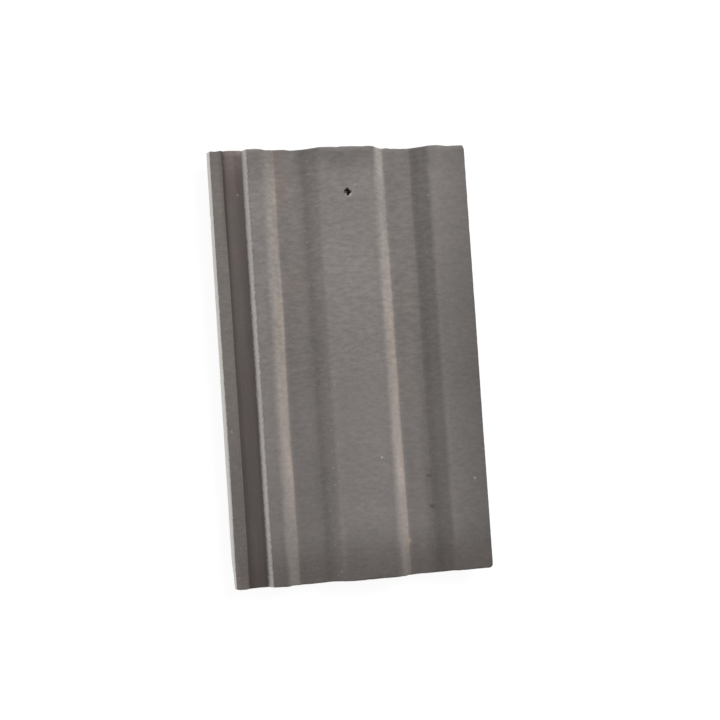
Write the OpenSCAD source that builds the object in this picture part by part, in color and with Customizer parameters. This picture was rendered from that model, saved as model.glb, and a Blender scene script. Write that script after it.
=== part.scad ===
// Interlocking concrete roof tile with a trapezoid roll in the middle and a half roll at each side.
// The section is cast in one length along Y, from the tail at -Y to the head at +Y.
// X runs from the edge with the water channel to the edge that laps over the next tile's channel.
// The tile lies face up on level ground, on its two hanging nibs and its lowest weather bar.

/* [Tile] */
// Length from tail to head
tile_length = 380; // [300:5:450]
// Width that one tile covers when the next one laps over its channel
cover_width = 200; // [170:1:240]
// Width of the channel edge that the next tile laps over
lock_width = 31.5; // [29:0.5:35]
// Thickness of the flat pans
pan_thickness = 13; // [12:0.5:16]
// Thickness over the top of a roll
crown_thickness = 12.5; // [11:0.5:15]

/* [Rolls] */
// Height of a roll above the pans
roll_height = 13; // [11:0.5:15]
// Width across the flat top of the whole roll, as a share of the distance between rolls
roll_top_share = 0.475; // [0.42:0.005:0.52]
// Width across the foot of the whole roll, as a share of the distance between rolls
roll_foot_share = 0.765; // [0.7:0.005:0.8]
// Width across the flat top of the roll that two tiles make where they meet, as such a share
joint_top_share = 0.44; // [0.42:0.005:0.5]
// Width across the foot of the roll that two tiles make where they meet, as such a share
joint_foot_share = 0.75; // [0.72:0.005:0.78]
// Distance from the middle of the roll where two tiles meet to the edge that laps over
joint_offset = 10.5; // [9:0.5:12]
// Amount by which the hollow under a roll is narrower than the roll on each side
flank_inset = 2; // [0:0.25:3]
// Radius over the shoulders of a roll
shoulder_radius = 12; // [4:0.5:14]
// Radius in the foot of a roll
foot_radius = 4; // [2:0.5:8]
// Radius along the edges of the underside
under_radius = 5; // [2:0.5:7]

/* [Side lock] */
// Width over the top of the outer upstand
upstand_width = 12.5; // [10.5:0.5:13]
// Height of the upstand above the channel floor
upstand_height = 5; // [4:0.25:5.5]
// Slope of the upstand's inner side, measured across the tile
upstand_run = 2.7; // [1.5:0.1:3.5]
// Draft of the upstand's outer side, measured across the tile
outer_draft = 2; // [0.2:0.1:2.5]
// Thickness of the channel floor
channel_thickness = 5; // [4:0.25:6]
// Slope of the wall between the channel and the roll, measured across the tile
wall_run = 2.4; // [1:0.1:3]
// Solid width behind the channel wall, measured along the underside
root_width = 4; // [3:0.5:5]
// Clearance between the locks of two tiles
lock_gap = 1.5; // [1:0.1:1.5]
// Radius in the channel and in the hollow that laps over it
channel_radius = 1.5; // [0.5:0.1:1.75]

/* [Weather bars] */
// Depth of a bar below the underside
bar_depth = 6; // [5:0.25:7]
// Width of a bar along the tile
bar_width = 9; // [7:0.5:14]
// Number of bars across the tail
bar_count = 2; // [1:1:3]
// Distance from one bar to the next
bar_spacing = 26; // [18:1:40]
// Distance from the tail to the first bar
bar_setback = 8; // [4:0.5:20]

/* [Nibs] */
// Depth of a nib below the underside
nib_depth = 13; // [10:0.5:18]
// Width of a nib where it leaves the pan
nib_width = 24; // [16:1:26]
// Width lost by each side of a nib towards its tip
nib_draft = 2; // [0.5:0.25:3]
// Length of a nib along the tile
nib_length = 16; // [12:1:24]
// Length of a nib at its tip
nib_tip_length = 9; // [7:0.5:11]
// Distance from the head to the nibs
nib_setback = 3; // [2:0.5:12]

/* [Nail hole] */
// Diameter of the nail hole
nail_hole_diameter = 6; // [4:0.25:10]
// Distance from the head to the middle of the nail hole
nail_hole_setback = 40; // [30:1:60]

/* [Edges] */
// Radius along the long edges of the section
edge_radius = 2; // [1.75:0.1:2.2]
// Radius around both ends and the nibs
arris = 1.5; // [0.75:0.1:1.7]
// Radius of the corners of the tail, seen from above
corner_radius = 2.5; // [2:0.5:8]

/* [Hidden] */
// Clearance between a channel and the roll of the course below it
lap_gap = 0.5;
// Width of the strip along each side that gives way to the rounded corners of the tail
corner_strip = 12;
// Length by which a cut or a joined piece runs past the surface that it meets
overrun = 3;
// Angle of one straight piece of a rounded corner of the section
arc_step = 12;
// Number of steps in a rounded end
arris_steps = 3;
// Angles at which the rounded corners of the tail are stepped, seen from above
corner_angles = [20, 50, 90];
$fa = 6;
$fs = 0.25;

half_length = tile_length / 2;
tile_width = cover_width + lock_width;
roll_pitch = cover_width / 2;
left_roll = lock_width - joint_offset;
roll_centre = left_roll + roll_pitch;
right_roll = roll_centre + roll_pitch;
half_top = roll_pitch * roll_top_share / 2;
half_foot = roll_pitch * roll_foot_share / 2;
joint_half_top = roll_pitch * joint_top_share / 2;
joint_half_foot = roll_pitch * joint_foot_share / 2;
roll_top = pan_thickness + roll_height;
hollow_top = roll_top - crown_thickness;

// Heights in the side lock, which lies clear of the course below and of the tile beside it
lap_rise = pan_thickness + bar_depth;
flange_bottom = roll_top - lap_rise + lap_gap;
channel_floor = flange_bottom + channel_thickness;
upstand_top = channel_floor + upstand_height;
lap_ceiling = upstand_top + lock_gap;
rib_bottom = channel_floor + lock_gap;

// Places across the side lock
wall_top = lock_width + lock_gap;
wall_foot = wall_top - wall_run;
rib_draft = wall_run * (roll_top - rib_bottom) / (roll_top - channel_floor);
lap_wall = cover_width - lock_gap;
right_flank = right_roll - joint_half_foot + flank_inset;
lap_wall_foot = (lap_wall - right_flank) * hollow_top / (joint_half_foot - joint_half_top);

// Places along the tile
first_bar = bar_setback - half_length;
corner_places = [for (a = corner_angles) corner_radius * (1 - cos(a)) - half_length];
nib_face = half_length - nib_setback - nib_length;
nail_hole_y = half_length - nail_hole_setback;

// The tile rests on the edge of the first bar and on the rounded edges of the nibs
nib_reach = [nib_face + arris - first_bar, nib_depth - arris - bar_depth];
rest_tilt = atan2(nib_reach[1], nib_reach[0]) + asin(arris / norm(nib_reach));
rest_lift = bar_depth * cos(rest_tilt) - first_bar * sin(rest_tilt);
rest_shift = roll_top / 2 * sin(rest_tilt);

function unit(v) = v / norm(v);
function turned(v, angle) = [
    v[0] * cos(angle) - v[1] * sin(angle),
    v[0] * sin(angle) + v[1] * cos(angle)
];
function reversed(list) = [for (i = [len(list) - 1 : -1 : 0]) list[i]];
function flat(lists) = [for (list = lists) each list];

// Arc of radius r that rounds the corner b between a and c, no longer than half of either side
function corner_arc(a, b, c, r) =
    let (
        u = unit(a - b),
        v = unit(c - b),
        half = acos(u * v) / 2,
        reach = min(r / tan(half), norm(a - b) / 2, norm(c - b) / 2),
        middle = b + unit(u + v) * reach / cos(half),
        sweep = -sign(cross(u, v)) * (180 - 2 * half),
        steps = ceil(abs(sweep) / arc_step)
    )
    [for (i = [0 : steps]) middle + turned(b + u * reach - middle, sweep * i / steps)];

// Outline through corners given as [x, z, radius], each rounded by its radius
function rounded(corners) =
    let (n = len(corners), p = [for (k = corners) [k[0], k[1]]])
    flat([
        for (i = [0 : n - 1])
            corner_arc(p[(i + n - 1) % n], p[i], p[(i + 1) % n], corners[i][2])
    ]);

// Clockwise outline with every side moved inwards by a distance
function inset(outline, distance) =
    let (n = len(outline))
    [
        for (i = [0 : n - 1])
            let (
                d = unit(outline[i] - outline[(i + n - 1) % n]),
                e = unit(outline[(i + 1) % n] - outline[i]),
                side = [d[1] + e[1], -d[0] - e[0]]
            )
            outline[i] + side * distance / (1 + d * e)
    ];

// Whether the corner i of a clockwise outline, counting only the points left, can be cut off as a triangle
function is_ear(outline, left, i) =
    let (
        n = len(left),
        a = outline[left[(i + n - 1) % n]],
        b = outline[left[i]],
        c = outline[left[(i + 1) % n]],
        blocking = [
            for (k = left)
                let (p = outline[k])
                if (p != a && p != b && p != c)
                    if (cross(b - a, p - a) <= 0 && cross(c - b, p - b) <= 0 && cross(a - c, p - c) <= 0) k
        ]
    )
    cross(b - a, c - b) < 0 && len(blocking) == 0;
function first_ear(outline, left, i) = is_ear(outline, left, i) ? i : first_ear(outline, left, i + 1);

// Triangles that fill a clockwise outline, cut off one after another
function filled(outline, left) =
    len(left) == 3 ? [left] :
    let (
        n = len(left),
        i = first_ear(outline, left, 0),
        ear = [left[(i + n - 1) % n], left[i], left[(i + 1) % n]]
    )
    concat([ear], filled(outline, [for (k = left) if (k != left[i]) k]));

// Place across the tile of a point at x where the outer strips are narrowed by a distance
function narrowed(x, distance) =
    let (
        from_middle = x - tile_width / 2,
        strip = abs(from_middle) - tile_width / 2 + corner_strip,
        share = strip > 0 ? strip / corner_strip : 0
    )
    x - sign(from_middle) * share * distance;

// Distance by which the rounded corner of the tail narrows the tile at y
function corner_loss(y) =
    let (reach = max(0, corner_radius - half_length - y))
    corner_radius - sqrt(corner_radius * corner_radius - reach * reach);

// Pans and roll hollows of the underside, from the overlapping side to the channel side
function lower_line(rise, inward) = [
    [right_roll - joint_half_foot + inward, rise, under_radius],
    [roll_centre + half_foot - inward, rise, under_radius],
    [roll_centre + half_top - inward, hollow_top + rise, under_radius],
    [roll_centre - half_top + inward, hollow_top + rise, under_radius],
    [roll_centre - half_foot + inward, rise, under_radius],
    [left_roll + joint_half_foot - inward, rise, under_radius],
    [left_roll + joint_half_top - inward, hollow_top + rise, under_radius]
];

// Lower surface with the end that a weather bar has in the side hollow
function bar_line(rise) = concat(
    [[right_roll - joint_half_top, hollow_top + rise, edge_radius]],
    lower_line(rise, 0)
);

// How far the inner side of the upstand reaches at height z
function upstand_side(z) = upstand_width + upstand_run * (upstand_top - z) / upstand_height;

// Section of the tile, clockwise from the lower corner of the channel edge
section = concat(
    [
        [0, flange_bottom, edge_radius],
        [outer_draft, upstand_top, edge_radius],
        [upstand_width, upstand_top, edge_radius],
        [upstand_side(channel_floor), channel_floor, channel_radius],
        [wall_foot, channel_floor, channel_radius],
        [wall_top, roll_top, edge_radius],
        [left_roll + joint_half_top, roll_top, shoulder_radius],
        [left_roll + joint_half_foot, pan_thickness, foot_radius],
        [roll_centre - half_foot, pan_thickness, foot_radius],
        [roll_centre - half_top, roll_top, shoulder_radius],
        [roll_centre + half_top, roll_top, shoulder_radius],
        [roll_centre + half_foot, pan_thickness, foot_radius],
        [right_roll - joint_half_foot, pan_thickness, foot_radius],
        [right_roll - joint_half_top, roll_top, shoulder_radius],
        [tile_width, roll_top, edge_radius],
        [tile_width - rib_draft, rib_bottom, edge_radius],
        [cover_width + upstand_side(rib_bottom) + lock_gap, rib_bottom, edge_radius],
        [cover_width + upstand_side(lap_ceiling) + lock_gap, lap_ceiling, channel_radius],
        [lap_wall, lap_ceiling, channel_radius],
        [lap_wall, lap_wall_foot, edge_radius]
    ],
    lower_line(0, flank_inset),
    [[wall_top + root_width, flange_bottom, under_radius]]
);

// Section of a weather bar, which runs up into the tile
bar_section = concat(bar_line(-bar_depth), reversed(bar_line(overrun)));

// Length of a section from y = start to y = end, with its ends rounded by the arris radius
module cast_length(corners, start, end) {
    outline = rounded(corners);
    n = len(outline);
    turns = [for (i = [0 : arris_steps]) 90 * i / arris_steps];
    tail_stations = [for (a = turns) [start + arris * (1 - cos(a)), arris * (1 - sin(a))]];
    corner_stations = [for (y = corner_places) if (y > start + arris && y < end - arris) [y, 0]];
    head_stations = [for (a = reversed(turns)) [end - arris * (1 - cos(a)), arris * (1 - sin(a))]];
    stations = concat(tail_stations, corner_stations, head_stations);
    last = (len(stations) - 1) * n;
    points = flat([
        for (s = stations)
            [for (p = inset(outline, s[1])) [narrowed(p[0], corner_loss(s[0])), s[0], p[1]]]
    ]);
    sides = [
        for (s = [0 : n : last - n])
            for (i = [0 : n - 1])
                [s + i, s + n + i, s + n + (i + 1) % n, s + (i + 1) % n]
    ];
    tail_faces = filled(inset(outline, arris), [for (i = [0 : n - 1]) i]);
    head_faces = [for (t = tail_faces) [for (k = reversed(t)) last + k]];
    polyhedron(points, concat(tail_faces, sides, head_faces));
}

// Weather bar across the underside, from y towards the head
module weather_bar(y) {
    translate([0, y + bar_width, 0])
        rotate([90, 0, 0])
            linear_extrude(bar_width)
                polygon(rounded(bar_section));
}

// Nib that hangs below the pan at x and hooks over a batten with its upright face
module nib(x) {
    along = [
        [nib_face, overrun, 0],
        [nib_face + nib_length, overrun, 0],
        [nib_face + nib_length, 0, arris],
        [nib_face + nib_tip_length, -nib_depth, arris],
        [nib_face, -nib_depth, arris]
    ];
    across = [
        [x - nib_width / 2, overrun, 0],
        [x + nib_width / 2, overrun, 0],
        [x + nib_width / 2, 0, arris],
        [x + nib_width / 2 - nib_draft, -nib_depth, arris],
        [x - nib_width / 2 + nib_draft, -nib_depth, arris],
        [x - nib_width / 2, 0, arris]
    ];
    intersection() {
        translate([x - nib_width, 0, 0])
            rotate([90, 0, 90])
                linear_extrude(2 * nib_width)
                    polygon(rounded(along));
        translate([0, half_length, 0])
            rotate([90, 0, 0])
                linear_extrude(tile_length)
                    polygon(rounded(across));
    }
}

module tile() {
    color([0.46, 0.44, 0.43])
        translate([-tile_width / 2, rest_shift, rest_lift])
            rotate([rest_tilt, 0, 0])
                difference() {
                    union() {
                        cast_length(section, -half_length, half_length);
                        for (i = [0 : bar_count - 1])
                            weather_bar(first_bar + i * bar_spacing);
                        nib(roll_centre - roll_pitch / 2);
                        nib(roll_centre + roll_pitch / 2);
                    }
                    translate([roll_centre, nail_hole_y, hollow_top - overrun])
                        cylinder(h = crown_thickness + 2 * overrun, d = nail_hole_diameter);
                }
}

tile();
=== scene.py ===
import math
from types import SimpleNamespace

import bmesh
import bpy
from mathutils import Matrix, Vector, noise


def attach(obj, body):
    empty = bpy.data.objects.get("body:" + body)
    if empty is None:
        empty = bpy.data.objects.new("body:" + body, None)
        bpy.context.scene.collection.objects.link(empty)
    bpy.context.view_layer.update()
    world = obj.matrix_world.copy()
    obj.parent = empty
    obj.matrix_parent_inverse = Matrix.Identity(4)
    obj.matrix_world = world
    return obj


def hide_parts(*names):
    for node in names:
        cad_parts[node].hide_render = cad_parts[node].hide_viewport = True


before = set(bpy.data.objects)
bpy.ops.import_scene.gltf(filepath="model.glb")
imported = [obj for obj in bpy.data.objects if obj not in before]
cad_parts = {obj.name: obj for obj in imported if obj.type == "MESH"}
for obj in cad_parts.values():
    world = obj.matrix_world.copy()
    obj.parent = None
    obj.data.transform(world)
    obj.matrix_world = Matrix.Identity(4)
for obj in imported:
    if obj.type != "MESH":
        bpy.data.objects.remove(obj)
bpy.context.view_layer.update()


# Tile: one length of dense sand-and-cement concrete, rolled and slid onto a steel pallet in a
# single pass and cut to length while green. Its face then gets a pigmented cement slurry, and its
# sides, ends and underside stay bare. It lies face up on its two nibs and its lowest weather bar.
MM = 0.001
tile_length = 380.0
tile_width = 231.5
half_length = tile_length / 2
pan_top = 13.0
roll_top = 26.0
hollow_top = 13.5
lowest = -12.0
rest_tilt = math.radians(1.13127)
rest_lift = 9.592
rest_shift = 0.2567

# The tile's own axes, in millimetres: x from the channel edge, y from mid-length to the head,
# z up from the underside of the pans. This takes them to the frame, in metres.
tile_to_frame = (
    Matrix.Scale(MM, 4)
    @ Matrix.Translation((-tile_width / 2, rest_shift, rest_lift))
    @ Matrix.Rotation(rest_tilt, 4, "X")
)
frame_to_tile = tile_to_frame.inverted()
across = Vector((1, 0, 0))
along = Vector((0, 1, 0))
upward = Vector((0, 0, 1))

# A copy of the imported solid, merged, and with each long flat side in one piece
merge_gap = 0.005
flat_angle = math.radians(0.4)
end_facing = 0.9
tile_mesh = bmesh.new()
tile_mesh.from_mesh(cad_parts["tile"].data)
tile_mesh.transform(frame_to_tile)
bmesh.ops.remove_doubles(tile_mesh, verts=tile_mesh.verts, dist=merge_gap)
tile_mesh.normal_update()
long_edges = [e for e in tile_mesh.edges if all(abs(f.normal.y) < end_facing for f in e.link_faces)]
bmesh.ops.dissolve_limit(tile_mesh, angle_limit=flat_angle, verts=[], edges=long_edges)
bmesh.ops.triangulate(tile_mesh, faces=[f for f in tile_mesh.faces if len(f.verts) > 4])

# Even cuts, close enough on the face to carry the drag marks of the slide and the worn edges, and
# three times as far apart along the sides and the underside.
cut_gap = 0.02
across_step = 2.2
upward_step = 3.1
along_step = 1.45
side_stride = 3
face_floor = 11.0
face_facing = 0.2
for axis, first, last, step in (
    (across, 0.0, tile_width, across_step),
    (upward, lowest, roll_top, upward_step),
):
    for i in range(1, int((last - first) / step)):
        bmesh.ops.bisect_plane(
            tile_mesh,
            geom=tile_mesh.verts[:] + tile_mesh.edges[:] + tile_mesh.faces[:],
            dist=cut_gap,
            plane_co=axis * (first + i * step),
            plane_no=axis,
        )
tile_mesh.normal_update()
face_side = []
other_side = []
for f in tile_mesh.faces:
    faces_up = f.normal.z > face_facing and f.calc_center_median().z > face_floor
    side = face_side if faces_up else other_side
    side.append(f)
for faces, stride in ((other_side, side_stride), (face_side, 1)):
    corners = dict.fromkeys(v for f in faces for v in f.verts)
    borders = dict.fromkeys(e for f in faces for e in f.edges)
    cut = [*corners, *borders, *faces]
    for i in range(stride, int(tile_length / along_step), stride):
        cut = bmesh.ops.bisect_plane(
            tile_mesh,
            geom=cut,
            dist=cut_gap,
            plane_co=along * (i * along_step - half_length),
            plane_no=along,
        )["geom"]
tile_mesh.normal_update()


def ease(low, high, value):
    """Smooth step from 0 at low to 1 at high."""
    t = min(1.0, max(0.0, (value - low) / (high - low)))
    return t * t * (3 - 2 * t)


def band(value, low, full, full_end, high):
    """Smooth band: 0 up to low, 1 from full to full_end, and 0 again from high."""
    return ease(low, full, value) * ease(high, full_end, value)


def hump(value, middle, reach):
    """Smooth hump of 1 at middle that fades over about reach on either side."""
    return math.exp(-(((value - middle) / reach) ** 2))


def oval(p, middle, half_width, half_extent):
    """Way from middle to p, seen from above, as a share of the way to the edge of an oval."""
    return Vector(((p.x - middle[0]) / half_width, (p.y - middle[1]) / half_extent)).length


def wobble(p, size, seed):
    """Noise between about -1 and 1 with lumps of about size, in millimetres along each axis."""
    return noise.noise(Vector((p.x / size[0] + seed, p.y / size[1] - seed, p.z / size[2] + 2 * seed)))


def between(value, stops):
    """Value read off a line through stops, given as (place, value) pairs in rising order of place."""
    for (a, low), (b, high) in zip(stops, stops[1:]):
        if value <= b:
            return low + (high - low) * max(0.0, (value - a) / (b - a))
    return stops[-1][1]


# Places across the tile. A band starts, is full, starts to fade and ends at its four values.
channel_start, channel_end = 12.4, 31.0
wall_top = 33.0
left_roll = (wall_top - 1, wall_top, 43.0, 47.0)
left_pan = (57.5, 60.5, 81.5, 84.5)
crown = (96.0, 101.0, 142.0, 147.0)
right_pan = (157.5, 160.5, 182.5, 185.5)
lap_foot, lap_top = (182.0, 186.0), (196.0, 200.0)
lap_shoulder, lap_width = 199.0, 32.0
left_slope_end = 70.0
# Shoulder and foot of each slope towards the channel edge
slopes_left = ((97.25, 82.75), (lap_shoulder, 183.5))
# Each slope towards the overlapping edge, paler partly by painted light and partly by thin slurry: its
# shoulder, its foot, and along the tile the width over which it pales, how pale it is, and how much its
# sand shows above the foot
slopes_right = (
    (
        41.5,
        58.0,
        ((-145, 9), (-95, 13.5), (-35, 9), (25, 12), (85, 10)),
        (
            (-185, 0.46), (-145, 0.34), (-95, 0.8), (-35, 0.7),
            (25, 0.62), (85, 0.43), (160, 0.34), (185, 0.14),
        ),
        ((-150, 0.2), (-95, 0.65), (-35, 0.65), (25, 0.5), (85, 0.35), (140, 0.6)),
    ),
    (
        143.0,
        158.7,
        ((-95, 9.5), (25, 9.5)),
        ((-185, 0.42), (-145, 0.62), (-95, 0.84), (-35, 0.66), (85, 0.66), (142, 0.38), (175, 0.7)),
        ((-150, 0.5), (-95, 0.55), (-35, 0.55), (25, 0.5), (85, 0.3), (125, 0.0)),
    ),
)

# Single marks: the nail hole, a spall, two gouges and a few scuffs
nail_hole = Vector((121.0, 150.0, roll_top))
nail_hole_radius = 3.0
spall = Vector((158.6, -160.0, pan_top + 0.8))
gouges = (Vector((181.6, -104.2, pan_top)), Vector((182.2, -131.2, pan_top)))
gouge_half_width = 3.2
gouge_half_extent = 1.8
gouge_shadow_extent = 1.6
# Scuffs: their middle, half their width and length, and the change of tone
scuffs = (
    ((76.0, -2.2), 4.5, 2.4, 0.16),
    ((85.3, -4.0), 2.8, 2.2, -0.22),
    ((78.0, -7.0), 5.0, 1.8, -0.12),
)
# Patches of red oxide along the channel: their middle and half their length
red_patches = ((-49.0, 15.0), (-9.0, 15.0), (100.0, 12.0))
# Lines drawn along the upper half of the channel: their place across it and how dark they are
drawn_lines = ((15.2, 0.1), (24.3, 0.13))


def zones_at(p, n):
    """Parts of the tile that p, with the normal n, is in: true or false, or a share that fades."""
    hole_way = Vector((p.x - nail_hole.x, p.y - nail_hole.y))
    in_hole = hole_way.length < nail_hole_radius + 0.1 and n.z < 0.7
    on_face = p.z > face_floor and n.z > 0.02 and not in_hole
    in_pan = band(p.x, *left_pan) + band(p.x, *right_pan)
    return SimpleNamespace(
        hole_way=hole_way,
        in_hole=in_hole,
        on_face=on_face,
        on_wall=on_face and n.x < -0.8 and channel_end - 3 < p.x < wall_top + 1,
        over_edge=p.x > tile_width - 3 and p.z > roll_top - 6 and n.x > -0.1,
        tailward=ease(130.0, -150.0, p.y),
        on_flange=p.x < channel_start,
        on_roll=band(p.x, *left_roll),
        in_pan=in_pan,
        in_right_pan=in_pan * (p.x > spall.x),
        on_crown=band(p.x, *crown),
        past_crown=ease(*lap_foot, p.x),
        on_lap=ease(*lap_top, p.x),
    )


def coat_at(p, n, zone):
    """Slurry: over the face and its overlapping edge, with a bare stripe along the channel's wall, and in
    the nail hole, where it is painted shade.
    """
    cover = 0.0
    if zone.in_hole:
        cover = 1.0
    elif zone.over_edge:
        cover = ease(roll_top - 6, roll_top - 3, p.z)
    elif zone.on_wall:
        half_bare = 13.4 + 0.6 * ease(120.0, 70.0, p.y) + 0.7 * zone.tailward
        cover = max(ease(half_bare + 7.5, half_bare - 7.5, p.z), ease(18.0, 28.0, p.z))
    elif zone.on_face:
        bare_edge = 1.1 + 0.65 * zone.tailward
        bare_edge -= 0.35 * ease(-110.0, -150.0, p.y) + 0.2 * ease(-150.0, -175.0, p.y)
        cover = ease(0.15, 0.55, n.z) * ease(bare_edge, bare_edge + 1.6, p.x)
    return cover - 0.35 * ease(1.4, 0.0, half_length - abs(p.y))


def trough_at(p, zone):
    """Painted shade in the channel and up the lower part of its wall, less towards the head, where light
    gets in.
    """
    if not zone.on_face:
        return 0.0
    edge = channel_start - 0.4 + 0.6 * ease(135.0, 80.0, p.y) + 0.6 * zone.tailward
    inside = ease(21.0, 17.0, p.z) if zone.on_wall else p.x < channel_end + 1
    return ease(edge, edge + 1, p.x) * inside * (1.0 - 0.6 * ease(158.0, 185.0, p.y))


def slopes_at(p, zone):
    """Paleness of a slope towards the overlapping edge, painted light and thin slurry, and how much sand
    shows.
    """
    thin, sandy_line = 0.0, 0.0
    for shoulder, foot, width, paleness, sand in slopes_right if zone.on_face else ():
        drift = 0.8 * wobble(p, (300, 40, 300), 6.2) + 0.9 * ease(-110.0, -150.0, p.y)
        if p.x < left_slope_end:
            drift += 1.2 * ease(-20.0, 60.0, p.y)
        upper = shoulder + 0.8 * drift + 2.5 * ease(150.0, 178.0, abs(p.y))
        lower = foot + drift
        share = ease(upper, shoulder + between(p.y, width), p.x)
        share *= max(ease(lower + 1.6, lower - 1.6, p.x), 0.14 * ease(lower + 5, lower, p.x))
        share *= between(p.y, paleness) * (1.0 + 0.3 * wobble(p, (5, 30, 30), 3.9))
        thin = max(thin, share)
        sandy_line = max(sandy_line, hump(p.x, lower - 3.2, 5.0) * between(p.y, sand))
    return thin, sandy_line


def blush_at(p, n, zone, trough_share):
    """Pink cast of the iron oxide where the slurry is thin: at the tail and low on the face."""
    if not zone.on_face:
        return 0.0
    cast = 0.45 * ease(-150.0, -182.0, p.y)
    if n.z > 0.8 and p.z < 20:
        cast += 0.5 * (1 - trough_share) * ease(0.1, 0.8, wobble(p, (16, 45, 50), 1.9))
        cast += 0.35 * zone.on_flange
        cast += ease(120.0, 175.0, p.y) * ease(72.0, 60.0, p.x) * (not zone.on_flange)
        reddest = max(ease(half, 0.4 * half, abs(p.y - middle)) for middle, half in red_patches)
        cast += trough_share * (0.8 * reddest + 0.25 * ease(-70.0, -110.0, p.y))
    return cast


def broken_at(p, zone):
    """Broken concrete in the spall and on part of the nail hole's rim."""
    chipped = ease(3.6, 1.2, (p - spall).length) * ease(-0.5, 0.3, wobble(p, (3, 3, 3), 2.2))
    if p.z <= roll_top - 3:
        return chipped
    rim = ease(2.2, 0.2, zone.hole_way.length - nail_hole_radius)
    ragged = wobble(p, (4, 4, 4), 7.1) + (zone.hole_way.x - zone.hole_way.y) / 9
    return max(chipped, rim * ease(-0.2, 0.5, ragged))


def even_at(p, zone):
    """Surface that the slide left without streaks: both sides, and the lower half of the tile."""
    return 0.65 * max(zone.on_lap, zone.on_flange, ease(10.0, -70.0, p.y))


def torn_at(p, even_share):
    """Tears of the slide, most on the middle roll's slope and low in the right pan."""
    patchy = ease(-0.15, 0.45, wobble(p, (14, 30, 40), 4.6))
    tears = 0.3 + 0.7 * patchy * band(p.x, 81.0, 84.0, 97.0, 108.0)
    tears += 0.7 * patchy * band(p.x, 168.0, 176.0, 184.0, 190.0) * ease(20.0, -60.0, p.y)
    return tears * (1.0 - 0.4 * even_share)


def sandy_at(p, zone):
    """Open sand grains, most on the slopes towards the channel edge."""
    grains = 0.25 + 0.5 * zone.on_flange + 0.5 * zone.on_wall + 0.4 * ease(225.0, 230.0, p.x)
    for shoulder, foot in slopes_left:
        grains += 0.75 * band(p.x, foot - 3, foot + 2, shoulder - 2, shoulder + 3)
    return grains


def tone_along(p, zone, trough_share):
    """Tone along the tile: painted light from the head, dark at the tail and pale nearer the head, and
    dark above the nail hole.
    """
    tail_loss = 0.34 + 0.1 * zone.on_crown - 0.18 * zone.on_flange
    tail_loss -= 0.04 * zone.past_crown + 0.14 * trough_share
    tail_start = 50 + 10 * zone.on_crown
    level = 1.0 - tail_loss * ease(tail_start - half_length, 4 - half_length, p.y)
    level *= 1.0 - 0.24 * ease(1.0, 0.3, oval(p, (nail_hole.x, half_length), 46, 26))
    level *= 1.0 + 0.07 * band(p.y, 20.0, 90.0, 150.0, 185.0)
    # Paler within a few millimetres of the head, most in the channel, where it is painted light that gets
    # in at its end
    head_gain = 0.7 * trough_share + 0.33 * zone.on_roll + 0.34 * zone.on_crown
    head_gain += 0.15 * zone.in_right_pan + 0.2 * zone.on_lap
    return level * (1.0 + head_gain * ease(half_length - 5.5, half_length - 1, p.y))


def tone_across(p, zone):
    """Tone across the tile: darker in the pans and past the crown, with painted shade on the left slopes
    and at their feet.
    """
    lap_loss = 0.15 + 0.2 * (p.x - lap_shoulder) / lap_width
    level = 1.0 - 0.08 * zone.in_pan - lap_loss * zone.past_crown
    level *= 1.0 - (0.11 * ease(150.0, 178.0, p.y) + 0.08 * ease(-60.0, -100.0, p.y)) * zone.on_roll
    # Painted shade on each slope towards the channel edge and in the crease at its foot, and a painted
    # highlight along its shoulder
    for shoulder, foot in slopes_left:
        level *= 1.0 - 0.08 * hump(p.x, foot + 2.5, 3.5)
        level *= 1.0 - 0.05 * band(p.x, foot, foot + 3, shoulder - 4, shoulder - 1)
        level *= 1.0 + 0.06 * hump(p.x, shoulder, 2.0) * band(p.y, -180.0, -140.0, 60.0, 120.0)
    # Painted shade in the creases at the feet of those slopes, reaching into the pans
    level *= 1.0 - (0.07 + 0.09 * ease(158.0, 178.0, p.y)) * band(p.x, 74.0, 81.0, 82.5, 84.5)
    level *= 1.0 - (0.06 + 0.11 * ease(70.0, -20.0, p.y)) * band(p.x, 173.0, 182.0, 183.5, 185.0)

    # The overlapping side pales towards the head, has painted shade on its slope towards the channel edge,
    # and darkens about mid-length
    level *= 1.0 - 0.14 * zone.past_crown * ease(199.0, 195.0, p.x)
    level *= 1.0 - 0.1 * band(p.x, 196.0, 199.0, 202.0, 206.0) * ease(158.0, 176.0, abs(p.y))
    level *= 1.0 + 0.12 * zone.on_lap * ease(60.0, 140.0, p.y)
    level *= 1.0 - 0.09 * zone.on_lap * hump(p.y, -5.0, 50.0)
    return level * (1.0 + 0.12 * ease(216.0, 228.0, p.x) * ease(-162.0, -180.0, p.y))


def flange_tone(p):
    """Tone of the flat upstand: darker towards the tail, but paler on its outer edge and end there."""
    level = 0.8 - 0.1 * ease(-20.0, -120.0, p.y)
    level -= 0.15 * ease(95.0, 140.0, p.y) * ease(9.5, 11.0, p.x)
    outer_gain = 0.2 * ease(-150.0, -176.0, p.y) * ease(6.0, 3.0, p.x)
    return level * (1.0 + outer_gain + 0.2 * ease(-176.0, -189.0, p.y))


def channel_tone(p, zone):
    """Tone of the channel: painted shade, darkest along its upstand and in its lower half, and paler by
    its wall.
    """
    upstand_loss = 0.5 - 0.28 * ease(150.0, -60.0, p.y)
    level = 1.0 - upstand_loss * hump(p.x, 12.7 + 2.5 * zone.tailward, 2.5)
    level *= 1.0 - 0.15 * ease(80.0, -80.0, p.y) * ease(26.0, 24.0, p.x)
    for line, depth in drawn_lines:
        level *= 1.0 - depth * hump(p.x, line, 1.5) * ease(0.0, 30.0, p.y)
    wall_gain = 0.24 - 0.1 * zone.tailward + 0.1 * ease(130.0, 170.0, p.y)
    return level * (1.0 + wall_gain * ease(26.0, 29.5, p.x))


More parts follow.
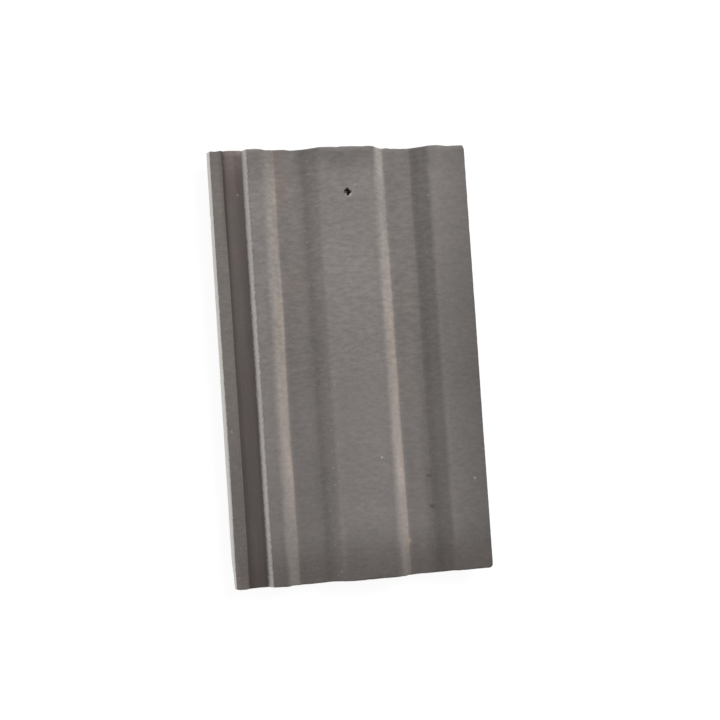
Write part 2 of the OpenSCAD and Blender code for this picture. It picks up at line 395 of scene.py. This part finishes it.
def wall_tone(p):
    """Tone of the channel's wall: darker at both ends, and pale along its top, which is painted light."""
    level = 0.91 - 0.2 * ease(-120.0, -185.0, p.y) - 0.06 * ease(150.0, 185.0, p.y)
    return level + 0.55 * ease(20.5, 24.5, p.z)


def tone_at(p, zone, trough_share):
    """Tone of the surface, which is 1 where it is plain; it carries painted light and shade."""
    # Painted shade inside the nail hole
    if zone.in_hole:
        return 0.8
    level = 1.0
    if zone.on_wall:
        level = wall_tone(p)
    elif zone.on_face or zone.over_edge:
        level = tone_along(p, zone, trough_share) * tone_across(p, zone)
        if zone.on_flange:
            level *= flange_tone(p)
        if trough_share > 0:
            level *= channel_tone(p, zone)
        for gouge in gouges:
            level *= 1.0 - 0.45 * ease(1.0, 0.3, oval(p, gouge, gouge_half_width, gouge_shadow_extent))
        for middle, half_width, half_extent, change in scuffs:
            level *= 1.0 + change * ease(1.0, 0.2, oval(p, middle, half_width, half_extent))
        level = 1.0 + (level - 1.0) * ease(1.0, 3.0, p.x)
    return level * (1.0 + 0.07 * ease(2.0, 1.0, p.x))


# Marks that the material reads, each from about 0 to 1: the slurry coat, the slopes towards the
# overlapping edge, paler by painted light and thin slurry, and their sand, the channel's painted shade,
# the pink cast, broken concrete, tears of the slide, places that it left even, and open sand grains;
# and the tone, which is 1 where the surface is plain and which also carries painted light and shade.
mark_names = (
    "coat", "lit_thin_slope", "sand_line", "trough", "blush", "broken", "torn", "even", "sandy", "tone",
)
coat, lit_thin_slope, sand_line, trough, blush, broken, torn, even, sandy, tone = [
    tile_mesh.verts.layers.float.new(name) for name in mark_names
]
for v in tile_mesh.verts:
    p, n = v.co, v.normal
    zone = zones_at(p, n)
    v[coat] = coat_at(p, n, zone)
    v[trough] = trough_at(p, zone)
    v[lit_thin_slope], v[sand_line] = slopes_at(p, zone)
    v[blush] = blush_at(p, n, zone, v[trough])
    v[broken] = broken_at(p, zone)
    v[even] = even_at(p, zone)
    v[torn] = torn_at(p, v[even])
    v[sandy] = sandy_at(p, zone)
    v[tone] = tone_at(p, zone, v[trough])

# The overlapping edge is rounded in the solid, about this middle and through this angle, and sharp
# here. The ends were cut a little askew: (place across the tile, millimetres outwards).
lap_middle = Vector((229.12, 24.0))
lap_radius, lap_turn = 2.0, math.radians(100.0)
head_cut = (
    (0, 0.1), (7, -0.6), (16, 0.6), (29, 0.9), (34, -0.3), (42, -0.3), (64, 0.7), (90, 0.2),
    (150, 0.8), (156, 0.1), (163, 0.8), (169, 0.0), (210, 0.2), (218, -0.6), (231, -0.3),
)
tail_cut = (
    (0, 0.0), (40, 0.1), (50, 0.5), (80, 0.6), (88, 0.0), (123, 0.6), (132, 0.1), (151, 0.8),
    (165, 0.1), (182, 0.0), (196, -0.9), (231, -0.9),
)
resting_depth = -3.0


def relief_at(p, n, torn_share, even_share):
    """Height of the relief: slow waves from the rollers, drag marks of the slide or a rough bare side,
    crumbled edges, the spall and the gouges. What the tile rests on never moves outwards."""
    end_gap = half_length - abs(p.y)
    side_gap = min(p.x, tile_width - p.x)
    height = 0.14 * wobble(p, (70, 90, 70), 1.3)
    if n.z > 0.3 and p.z > face_floor:
        drag = wobble(p, (13, 4.2, 40), 2.7) + 0.5 * wobble(p, (6, 2.4, 40), 4.1)
        drag *= (0.08 + 0.07 * torn_share) * (1.0 - 0.25 * even_share)
        height += drag * ease(0.0, 8.0, end_gap)
    else:
        height += 0.09 * wobble(p, (5, 5, 5), 5.9)
    crumble = 0.7 * ease(0.05, 0.55, wobble(p, (9, 9, 9), 8.3)) + 0.25 * wobble(p, (3, 3, 3), 9.7)
    height -= max(0.0, crumble) * (0.6 * ease(2.4, 0.6, end_gap) + 0.2 * ease(2.0, 0.4, side_gap))
    height += 0.5 * ease(3.0, 0.5, (p - spall).length)
    for gouge in gouges if n.z > 0.5 else ():
        height -= 0.6 * ease(1.0, 0.2, oval(p, gouge, gouge_half_width, gouge_half_extent))
    return min(height, 0.0) if p.z < resting_depth else height


def lap_shift(p):
    """Way from the rounded overlapping edge out to its sharp corner, with a slight burr."""
    way = Vector((p.x, p.z)) - lap_middle
    angle = math.atan2(way.x, way.y)
    if not (0.8 * lap_radius < way.length < 1.2 * lap_radius and 0 < angle < lap_turn):
        return Vector((0, 0, 0))
    gap = lap_radius / math.cos(min(angle, lap_turn - angle)) - lap_radius
    burr = 0.85 + 0.3 * ease(-60.0, 40.0, p.y)
    reach = burr * gap * ease(1.5, 4.0, half_length - abs(p.y))
    return Vector((way.x, 0, way.y)).normalized() * reach


def end_shift(p):
    """Way that a point near an end moves: the cut's own line, and in at the worn tail corner."""
    line = between(p.x, head_cut if p.y > 0 else tail_cut) + 0.25 * wobble(p, (7, 400, 30), 5.5)
    outwards = line * ease(4.0, 0.8, half_length - abs(p.y))
    worn = 1.4 * ease(-160.0, -188.0, p.y) * ease(2.6, 0.4, p.x)
    return Vector((worn, outwards if p.y > 0 else -outwards, 0))


def hole_shift(p):
    """Way that the nail hole's rim moves: out to four ragged lobes, and down a little."""
    way = Vector((p.x - nail_hole.x, p.y - nail_hole.y, 0))
    if way.length >= nail_hole_radius + 0.2 or p.z <= hollow_top - 1:
        return Vector((0, 0, 0))
    flare = ease(roll_top - 5, roll_top, p.z)
    lobes = math.cos(4 * math.atan2(way.y, way.x))
    reach = flare * (0.2 + 0.6 * lobes + 0.8 * wobble(p, (2.2, 2.2, 30), 3.3))
    return way.normalized() * reach - upward * 0.3 * flare


for v in tile_mesh.verts:
    p, n = v.co.copy(), v.normal.copy()
    relief = n * relief_at(p, n, v[torn], v[even])
    v.co = p + relief + lap_shift(p) + end_shift(p) + hole_shift(p)
tile_mesh.transform(tile_to_frame)
tile_mesh.normal_update()

sharp_angle = math.radians(55.0)
tile_data = bpy.data.meshes.new("cast_tile")
tile_mesh.to_mesh(tile_data)
tile_mesh.free()
tile_data.polygons.foreach_set("use_smooth", [True] * len(tile_data.polygons))
tile_data.set_sharp_from_angle(angle=sharp_angle)
cast_tile = bpy.data.objects.new("cast_tile", tile_data)
bpy.context.scene.collection.objects.link(cast_tile)


def linear(code):
    """Linear colour of an sRGB hex value."""
    channels = [int(code[i : i + 2], 16) / 255 for i in (1, 3, 5)]
    return [c / 12.92 if c <= 0.04045 else ((c + 0.055) / 1.055) ** 2.4 for c in channels] + [1.0]


def add(tree, kind, inputs=None, **settings):
    """Adds a node with its settings; an input is a value or another node's output to link."""
    made = tree.nodes.new(kind)
    for name, value in settings.items():
        setattr(made, name, value)
    for socket, value in (inputs or {}).items():
        if isinstance(value, bpy.types.NodeSocket):
            tree.links.new(value, made.inputs[socket])
        else:
            made.inputs[socket].default_value = value
    return made


# Slurry-coated concrete: a dull warm grey skin of cement and iron oxide over sand grains, which
# shows as a fine grit with pale specks, faint cross streaks and a pink cast where the slurry ran
# thin. Bare concrete shows pale and sandy on the sides, at the ends and below.
coated_concrete = bpy.data.materials.new("slurry_coated_concrete")
coated_concrete.use_nodes = True
tree = coated_concrete.node_tree
tree.nodes.clear()
slurry_grey, slurry_pink = "#787370", "#7c726e"
# Slopes towards the overlapping edge: pale by painted light and thin slurry, sandy at the foot
lit_thin_grey, lit_thin_sand = "#afa7a2", "#b4a397"
# The channel's colour: painted shade, with a cast of red oxide
channel_shade_grey, channel_red = "#605a57", "#645957"
grain_pale, pit_shadow = "#b4ada5", "#3f3b39"
bare_grey, bare_sand = "#b2aeaa", "#d9d6d2"
broken_sand = "#a79a90"

# Sockets of a mix of colours, and of a mix of plain numbers
MIX_FACTOR, MIX_A, MIX_B, MIX_RESULT = 0, 6, 7, 2
NUMBER_A, NUMBER_B = 2, 3
per_metre = 1 / MM
noise_range = {"From Min": 0.3, "From Max": 0.7}
place = add(tree, "ShaderNodeTexCoord").outputs["Object"]
marks = {
    name: add(tree, "ShaderNodeAttribute", attribute_name=name).outputs["Fac"] for name in mark_names
}

# Cloudy shade of the slurry, in patches of about 55 mm
cloud = add(
    tree,
    "ShaderNodeTexNoise",
    {"Vector": place, "Scale": per_metre / 55, "Detail": 3.0, "Roughness": 0.55},
)
cloud_shade = add(
    tree,
    "ShaderNodeMapRange",
    {**noise_range, "Value": cloud.outputs["Fac"], "To Min": 0.94, "To Max": 1.06},
)
# Cross streaks of the slide, about 3 mm apart along the tile and 7 mm long
streak_place = add(
    tree,
    "ShaderNodeMapping",
    {"Vector": place, "Scale": (per_metre / 7, per_metre / 3, per_metre / 7)},
)
streak = add(
    tree,
    "ShaderNodeTexNoise",
    {"Vector": streak_place.outputs[0], "Scale": 1.0, "Detail": 2.0, "Roughness": 0.6},
)
# Fainter and more even grain where the slide left few streaks, about 3 mm along and 6 mm across
grain_place = add(
    tree,
    "ShaderNodeMapping",
    {"Vector": place, "Scale": (per_metre / 6, per_metre / 3, per_metre / 6)},
)
grain = add(
    tree,
    "ShaderNodeTexNoise",
    {"Vector": grain_place.outputs[0], "Scale": 1.0, "Detail": 3.0, "Roughness": 0.7},
)
grain_faint = add(
    tree,
    "ShaderNodeMapRange",
    {**noise_range, "Value": grain.outputs["Fac"], "To Min": 0.28, "To Max": 0.72},
)
# Lines drawn along the channel by the roller, about 3 mm apart and 80 mm long
drawn_place = add(
    tree,
    "ShaderNodeMapping",
    {"Vector": place, "Scale": (per_metre / 3, per_metre / 80, per_metre / 80)},
)
drawn = add(
    tree,
    "ShaderNodeTexNoise",
    {"Vector": drawn_place.outputs[0], "Scale": 1.0, "Detail": 2.0, "Roughness": 0.6},
)
drawn_faint = add(
    tree,
    "ShaderNodeMapRange",
    {**noise_range, "Value": drawn.outputs["Fac"], "To Min": 0.4, "To Max": 0.6},
)
# Sand grit of 0.4 mm, drawn at 1.3 mm so that it shows
grit = add(
    tree,
    "ShaderNodeTexNoise",
    {"Vector": place, "Scale": per_metre / 1.3, "Detail": 2.0, "Roughness": 0.7},
)
grit_shade = add(
    tree,
    "ShaderNodeMapRange",
    {**noise_range, "Value": grit.outputs["Fac"], "To Min": 0.93, "To Max": 1.07},
)

# One shade from the cloud, the streaks, grain or lines, and the grit
face_lines = add(
    tree,
    "ShaderNodeMix",
    {MIX_FACTOR: marks["even"], NUMBER_A: streak.outputs["Fac"], NUMBER_B: grain_faint.outputs[0]},
)
lines = add(
    tree,
    "ShaderNodeMix",
    {MIX_FACTOR: marks["trough"], NUMBER_A: face_lines.outputs[0], NUMBER_B: drawn_faint.outputs[0]},
)
line_shade = add(
    tree,
    "ShaderNodeMapRange",
    {**noise_range, "Value": lines.outputs[0], "To Min": 0.87, "To Max": 1.13},
)
coarse_shade = add(
    tree,
    "ShaderNodeMath",
    {0: cloud_shade.outputs[0], 1: line_shade.outputs[0]},
    operation="MULTIPLY",
)
slurry_shade = add(
    tree,
    "ShaderNodeMath",
    {0: coarse_shade.outputs[0], 1: grit_shade.outputs[0]},
    operation="MULTIPLY",
)

# Plain slurry, its pink cast, the slopes paled by painted light and thin slurry, with their sand, and
# the channel's painted shade, all under the shade of cloud, streaks and grit
plain_slurry = add(
    tree,
    "ShaderNodeMix",
    {MIX_FACTOR: marks["blush"], MIX_A: linear(slurry_grey), MIX_B: linear(slurry_pink)},
    data_type="RGBA",
)
lit_thin_slurry = add(
    tree,
    "ShaderNodeMix",
    {MIX_FACTOR: marks["sand_line"], MIX_A: linear(lit_thin_grey), MIX_B: linear(lit_thin_sand)},
    data_type="RGBA",
)
channel_shade_slurry = add(
    tree,
    "ShaderNodeMix",
    {MIX_FACTOR: marks["blush"], MIX_A: linear(channel_shade_grey), MIX_B: linear(channel_red)},
    data_type="RGBA",
)
slurry = plain_slurry
for mark, layer in (("lit_thin_slope", lit_thin_slurry), ("trough", channel_shade_slurry)):
    slurry = add(
        tree,
        "ShaderNodeMix",
        {MIX_FACTOR: marks[mark], MIX_A: slurry.outputs[MIX_RESULT], MIX_B: layer.outputs[MIX_RESULT]},
        data_type="RGBA",
    )
slurry = add(
    tree,
    "ShaderNodeMix",
    {MIX_FACTOR: 1.0, MIX_A: slurry.outputs[MIX_RESULT], MIX_B: slurry_shade.outputs[0]},
    data_type="RGBA",
    blend_type="MULTIPLY",
)

# Pale sand grains of about 0.5 mm, drawn at about 1 mm so that they show, where they lie open, and
# a few of about 2 mm anywhere: the spacing of their cells, the share of cells with no grain, the
# strength of the palest, the radius at which a grain has faded, and how much of it shows
sand_grains = ((4.5, 0.3, 0.7, 0.8, marks["sandy"]), (21.0, 0.5, 0.75, 1.5, 1.0))
for spacing, empty, strength, radius, share in sand_grains:
    cells = add(
        tree,
        "ShaderNodeTexVoronoi",
        {"Vector": place, "Scale": per_metre / spacing},
        feature="F1",
    )
    chance = add(tree, "ShaderNodeSeparateColor", {0: cells.outputs["Color"]})
    chosen = add(
        tree,
        "ShaderNodeMapRange",
        {"Value": chance.outputs[0], "From Min": empty, "To Max": strength},
    )
    dot = add(
        tree,
        "ShaderNodeMapRange",
        {
            "Value": cells.outputs["Distance"],
            "From Min": radius / 3 / spacing,
            "From Max": radius / spacing,
            "To Min": 1.0,
            "To Max": 0.0,
        },
    )
    chosen_dot = add(
        tree,
        "ShaderNodeMath",
        {0: chosen.outputs[0], 1: dot.outputs[0]},
        operation="MULTIPLY",
    )
    shown_dot = add(tree, "ShaderNodeMath", {0: chosen_dot.outputs[0], 1: share}, operation="MULTIPLY")
    slurry = add(
        tree,
        "ShaderNodeMix",
        {MIX_FACTOR: shown_dot.outputs[0], MIX_A: slurry.outputs[MIX_RESULT], MIX_B: linear(grain_pale)},
        data_type="RGBA",
    )
# Pits of about 1 mm, in one of four cells of 13 mm, most of them faint, painted as dark dots of shade
pit_spacing = 13.0
pit_radius = 0.78
pit_cells = add(
    tree,
    "ShaderNodeTexVoronoi",
    {"Vector": place, "Scale": per_metre / pit_spacing},
    feature="F1",
)
pit_chance = add(tree, "ShaderNodeSeparateColor", {0: pit_cells.outputs["Color"]})
pit_chosen = add(
    tree,
    "ShaderNodeMapRange",
    {"Value": pit_chance.outputs[1], "From Min": 0.75, "From Max": 0.95, "To Max": 0.7},
)
pit_dot = add(
    tree,
    "ShaderNodeMapRange",
    {
        "Value": pit_cells.outputs["Distance"],
        "From Min": pit_radius / 2 / pit_spacing,
        "From Max": pit_radius / pit_spacing,
        "To Min": 1.0,
        "To Max": 0.0,
    },
)
pit_part = add(
    tree,
    "ShaderNodeMath",
    {0: pit_chosen.outputs[0], 1: pit_dot.outputs[0]},
    operation="MULTIPLY",
)
slurry = add(
    tree,
    "ShaderNodeMix",
    {MIX_FACTOR: pit_part.outputs[0], MIX_A: slurry.outputs[MIX_RESULT], MIX_B: linear(pit_shadow)},
    data_type="RGBA",
)

# Bare concrete with its sand, under a coat with a ragged edge
bare = add(
    tree,
    "ShaderNodeMix",
    {MIX_FACTOR: grit.outputs["Fac"], MIX_A: linear(bare_grey), MIX_B: linear(bare_sand)},
    data_type="RGBA",
)
ragged = add(
    tree,
    "ShaderNodeTexNoise",
    {"Vector": place, "Scale": per_metre / 2.2, "Detail": 3.0, "Roughness": 0.6},
)
coat_edge = add(
    tree,
    "ShaderNodeMath",
    {0: marks["coat"], 1: ragged.outputs["Fac"]},
    operation="ADD",
)
coat_part = add(
    tree,
    "ShaderNodeMapRange",
    {"Value": coat_edge.outputs[0], "From Min": 0.7, "From Max": 1.3},
)
surface = add(
    tree,
    "ShaderNodeMix",
    {MIX_FACTOR: coat_part.outputs[0], MIX_A: bare.outputs[MIX_RESULT], MIX_B: slurry.outputs[MIX_RESULT]},
    data_type="RGBA",
)
surface = add(
    tree,
    "ShaderNodeMix",
    {MIX_FACTOR: marks["broken"], MIX_A: surface.outputs[MIX_RESULT], MIX_B: linear(broken_sand)},
    data_type="RGBA",
)
surface = add(
    tree,
    "ShaderNodeMix",
    {MIX_FACTOR: 1.0, MIX_A: surface.outputs[MIX_RESULT], MIX_B: marks["tone"]},
    data_type="RGBA",
    blend_type="MULTIPLY",
)

# Tears of the slide, short ridges across the tile of about 2.6 by 9 mm, over the grit
ripple_place = add(
    tree,
    "ShaderNodeMapping",
    {"Vector": place, "Scale": (per_metre / 9, per_metre / 2.6, per_metre / 9)},
)
ripple = add(
    tree,
    "ShaderNodeTexNoise",
    {"Vector": ripple_place.outputs[0], "Scale": 1.0, "Detail": 2.0, "Roughness": 0.5},
)
grit_relief = add(
    tree,
    "ShaderNodeBump",
    {"Height": grit.outputs["Fac"], "Distance": 0.25 * MM, "Strength": 0.5},
)
tear_relief = add(
    tree,
    "ShaderNodeBump",
    {
        "Height": ripple.outputs["Fac"],
        "Distance": 0.5 * MM,
        "Strength": marks["torn"],
        "Normal": grit_relief.outputs[0],
    },
)
shader = add(
    tree,
    "ShaderNodeBsdfPrincipled",
    {
        "Base Color": surface.outputs[MIX_RESULT],
        "Roughness": 0.88,
        "Specular IOR Level": 0.3,
        "Normal": tear_relief.outputs[0],
    },
)
add(tree, "ShaderNodeOutputMaterial", {"Surface": shader.outputs[0]})

tile_data.materials.append(coated_concrete)
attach(cast_tile, "root")
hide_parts("tile")


# Floor: a wide sheet of white paper, laid flat under the tile, which takes the tile's soft shadow.
# Where the tile hides it, it doesn't glow, so that it shows dark through the nail hole.
floor_size = 8.0
hidden_half_width = (0.085, 0.1)
hidden_half_length = (0.165, 0.18)
paper_glow = 0.9
hidden_white, shadow_white, bounce_white = 0.6, 0.14, 0.75
floor_mesh = bmesh.new()
bmesh.ops.create_grid(floor_mesh, x_segments=1, y_segments=1, size=floor_size / 2)
floor_data = bpy.data.meshes.new("floor")
floor_mesh.to_mesh(floor_data)
floor_mesh.free()
floor = bpy.data.objects.new("floor", floor_data)
bpy.context.scene.collection.objects.link(floor)

white_paper = bpy.data.materials.new("white_paper")
white_paper.use_nodes = True
tree = white_paper.node_tree
tree.nodes.clear()
rays = add(tree, "ShaderNodeLightPath")
seen = rays.outputs["Is Camera Ray"]
for ray in ("Is Glossy Ray", "Is Transmission Ray"):
    seen = add(tree, "ShaderNodeMath", {0: seen, 1: rays.outputs[ray]}, operation="MAXIMUM").outputs[0]
floor_place = add(tree, "ShaderNodeTexCoord").outputs["Object"]
floor_axes = add(tree, "ShaderNodeSeparateXYZ", {0: floor_place})
past = []
for letter, (hidden, open_from) in (("X", hidden_half_width), ("Y", hidden_half_length)):
    way = add(tree, "ShaderNodeMath", {0: floor_axes.outputs[letter]}, operation="ABSOLUTE")
    past_edge = add(
        tree,
        "ShaderNodeMapRange",
        {"Value": way.outputs[0], "From Min": hidden, "From Max": open_from},
    )
    past.append(past_edge)
open_floor = add(
    tree,
    "ShaderNodeMath",
    {0: past[0].outputs[0], 1: past[1].outputs[0]},
    operation="MAXIMUM",
)
glow = add(tree, "ShaderNodeMath", {0: open_floor.outputs[0], 1: paper_glow}, operation="MULTIPLY")
paper_white = add(
    tree,
    "ShaderNodeMapRange",
    {"Value": open_floor.outputs[0], "To Min": hidden_white, "To Max": shadow_white},
)
shadow_part = add(tree, "ShaderNodeBsdfDiffuse", {"Color": paper_white.outputs[0]})
white_part = add(tree, "ShaderNodeEmission", {"Strength": glow.outputs[0]})
seen_floor = add(tree, "ShaderNodeAddShader", {0: shadow_part.outputs[0], 1: white_part.outputs[0]})
lit_floor = add(
    tree,
    "ShaderNodeBsdfDiffuse",
    {"Color": (bounce_white, bounce_white, bounce_white, 1.0)},
)
floor_mix = add(
    tree,
    "ShaderNodeMixShader",
    {0: seen, 1: lit_floor.outputs[0], 2: seen_floor.outputs[0]},
)
add(tree, "ShaderNodeOutputMaterial", {"Surface": floor_mix.outputs[0]})
floor_data.materials.append(white_paper)


# Light: an even white room, a broad soft lamp above the head on the overlapping side, and a weak
# one low on the channel side. Each lamp is a disc that faces the tile.
room_strength = 0.5
room = bpy.data.worlds.new("room")
room.use_nodes = True
room.node_tree.nodes["Background"].inputs["Color"].default_value = (1.0, 1.0, 1.0, 1.0)
room.node_tree.nodes["Background"].inputs["Strength"].default_value = room_strength
bpy.context.scene.world = room
for name, lamp_place, size, power in (
    ("soft_key", Vector((0.55, 0.55, 1.35)), 0.9, 14.0),
    ("channel_fill", Vector((-1.4, -0.1, 0.45)), 0.8, 6.0),
):
    lamp = bpy.data.lights.new(name, "AREA")
    lamp.shape = "DISK"
    lamp.size = size
    lamp.energy = power
    lamp_object = bpy.data.objects.new(name, lamp)
    lamp_object.location = lamp_place
    lamp_object.rotation_euler = (-lamp_place).to_track_quat("-Z", "Y").to_euler()
    bpy.context.scene.collection.objects.link(lamp_object)


# Camera: above the tile and a little to its channel side, turned so that the tile leans in the
# picture as it does in the photograph. Its place is given in the tile's own axes and millimetres.
picture_pixels = 720
focal_pixels = 1605.4
camera_distance = 1428.5
picture_lean = math.radians(3.827)
view_tip = math.radians(-3.055)
view_swing = math.radians(14.842)
view_offset = Vector((11.802, 3.179, camera_distance))
view_middle = Vector((tile_width / 2 + 0.75, 0, 0))
view_turn = (
    Matrix.Rotation(picture_lean, 4, "Z")
    @ Matrix.Rotation(view_tip, 4, "X")
    @ Matrix.Rotation(view_swing, 4, "Y")
)
camera_pose = (
    tile_to_frame
    @ Matrix.Translation(view_middle)
    @ view_turn.inverted()
    @ Matrix.Translation(view_offset)
)
camera_place, camera_turn, _ = camera_pose.decompose()
camera_data = bpy.data.cameras.new("camera")
camera_data.sensor_width = 36.0
camera_data.lens = camera_data.sensor_width * focal_pixels / picture_pixels
camera = bpy.data.objects.new("camera", camera_data)
camera.location = camera_place
camera.rotation_euler = camera_turn.to_euler()
bpy.context.scene.collection.objects.link(camera)
bpy.context.scene.camera = camera
bpy.context.scene.view_settings.view_transform = "Standard"
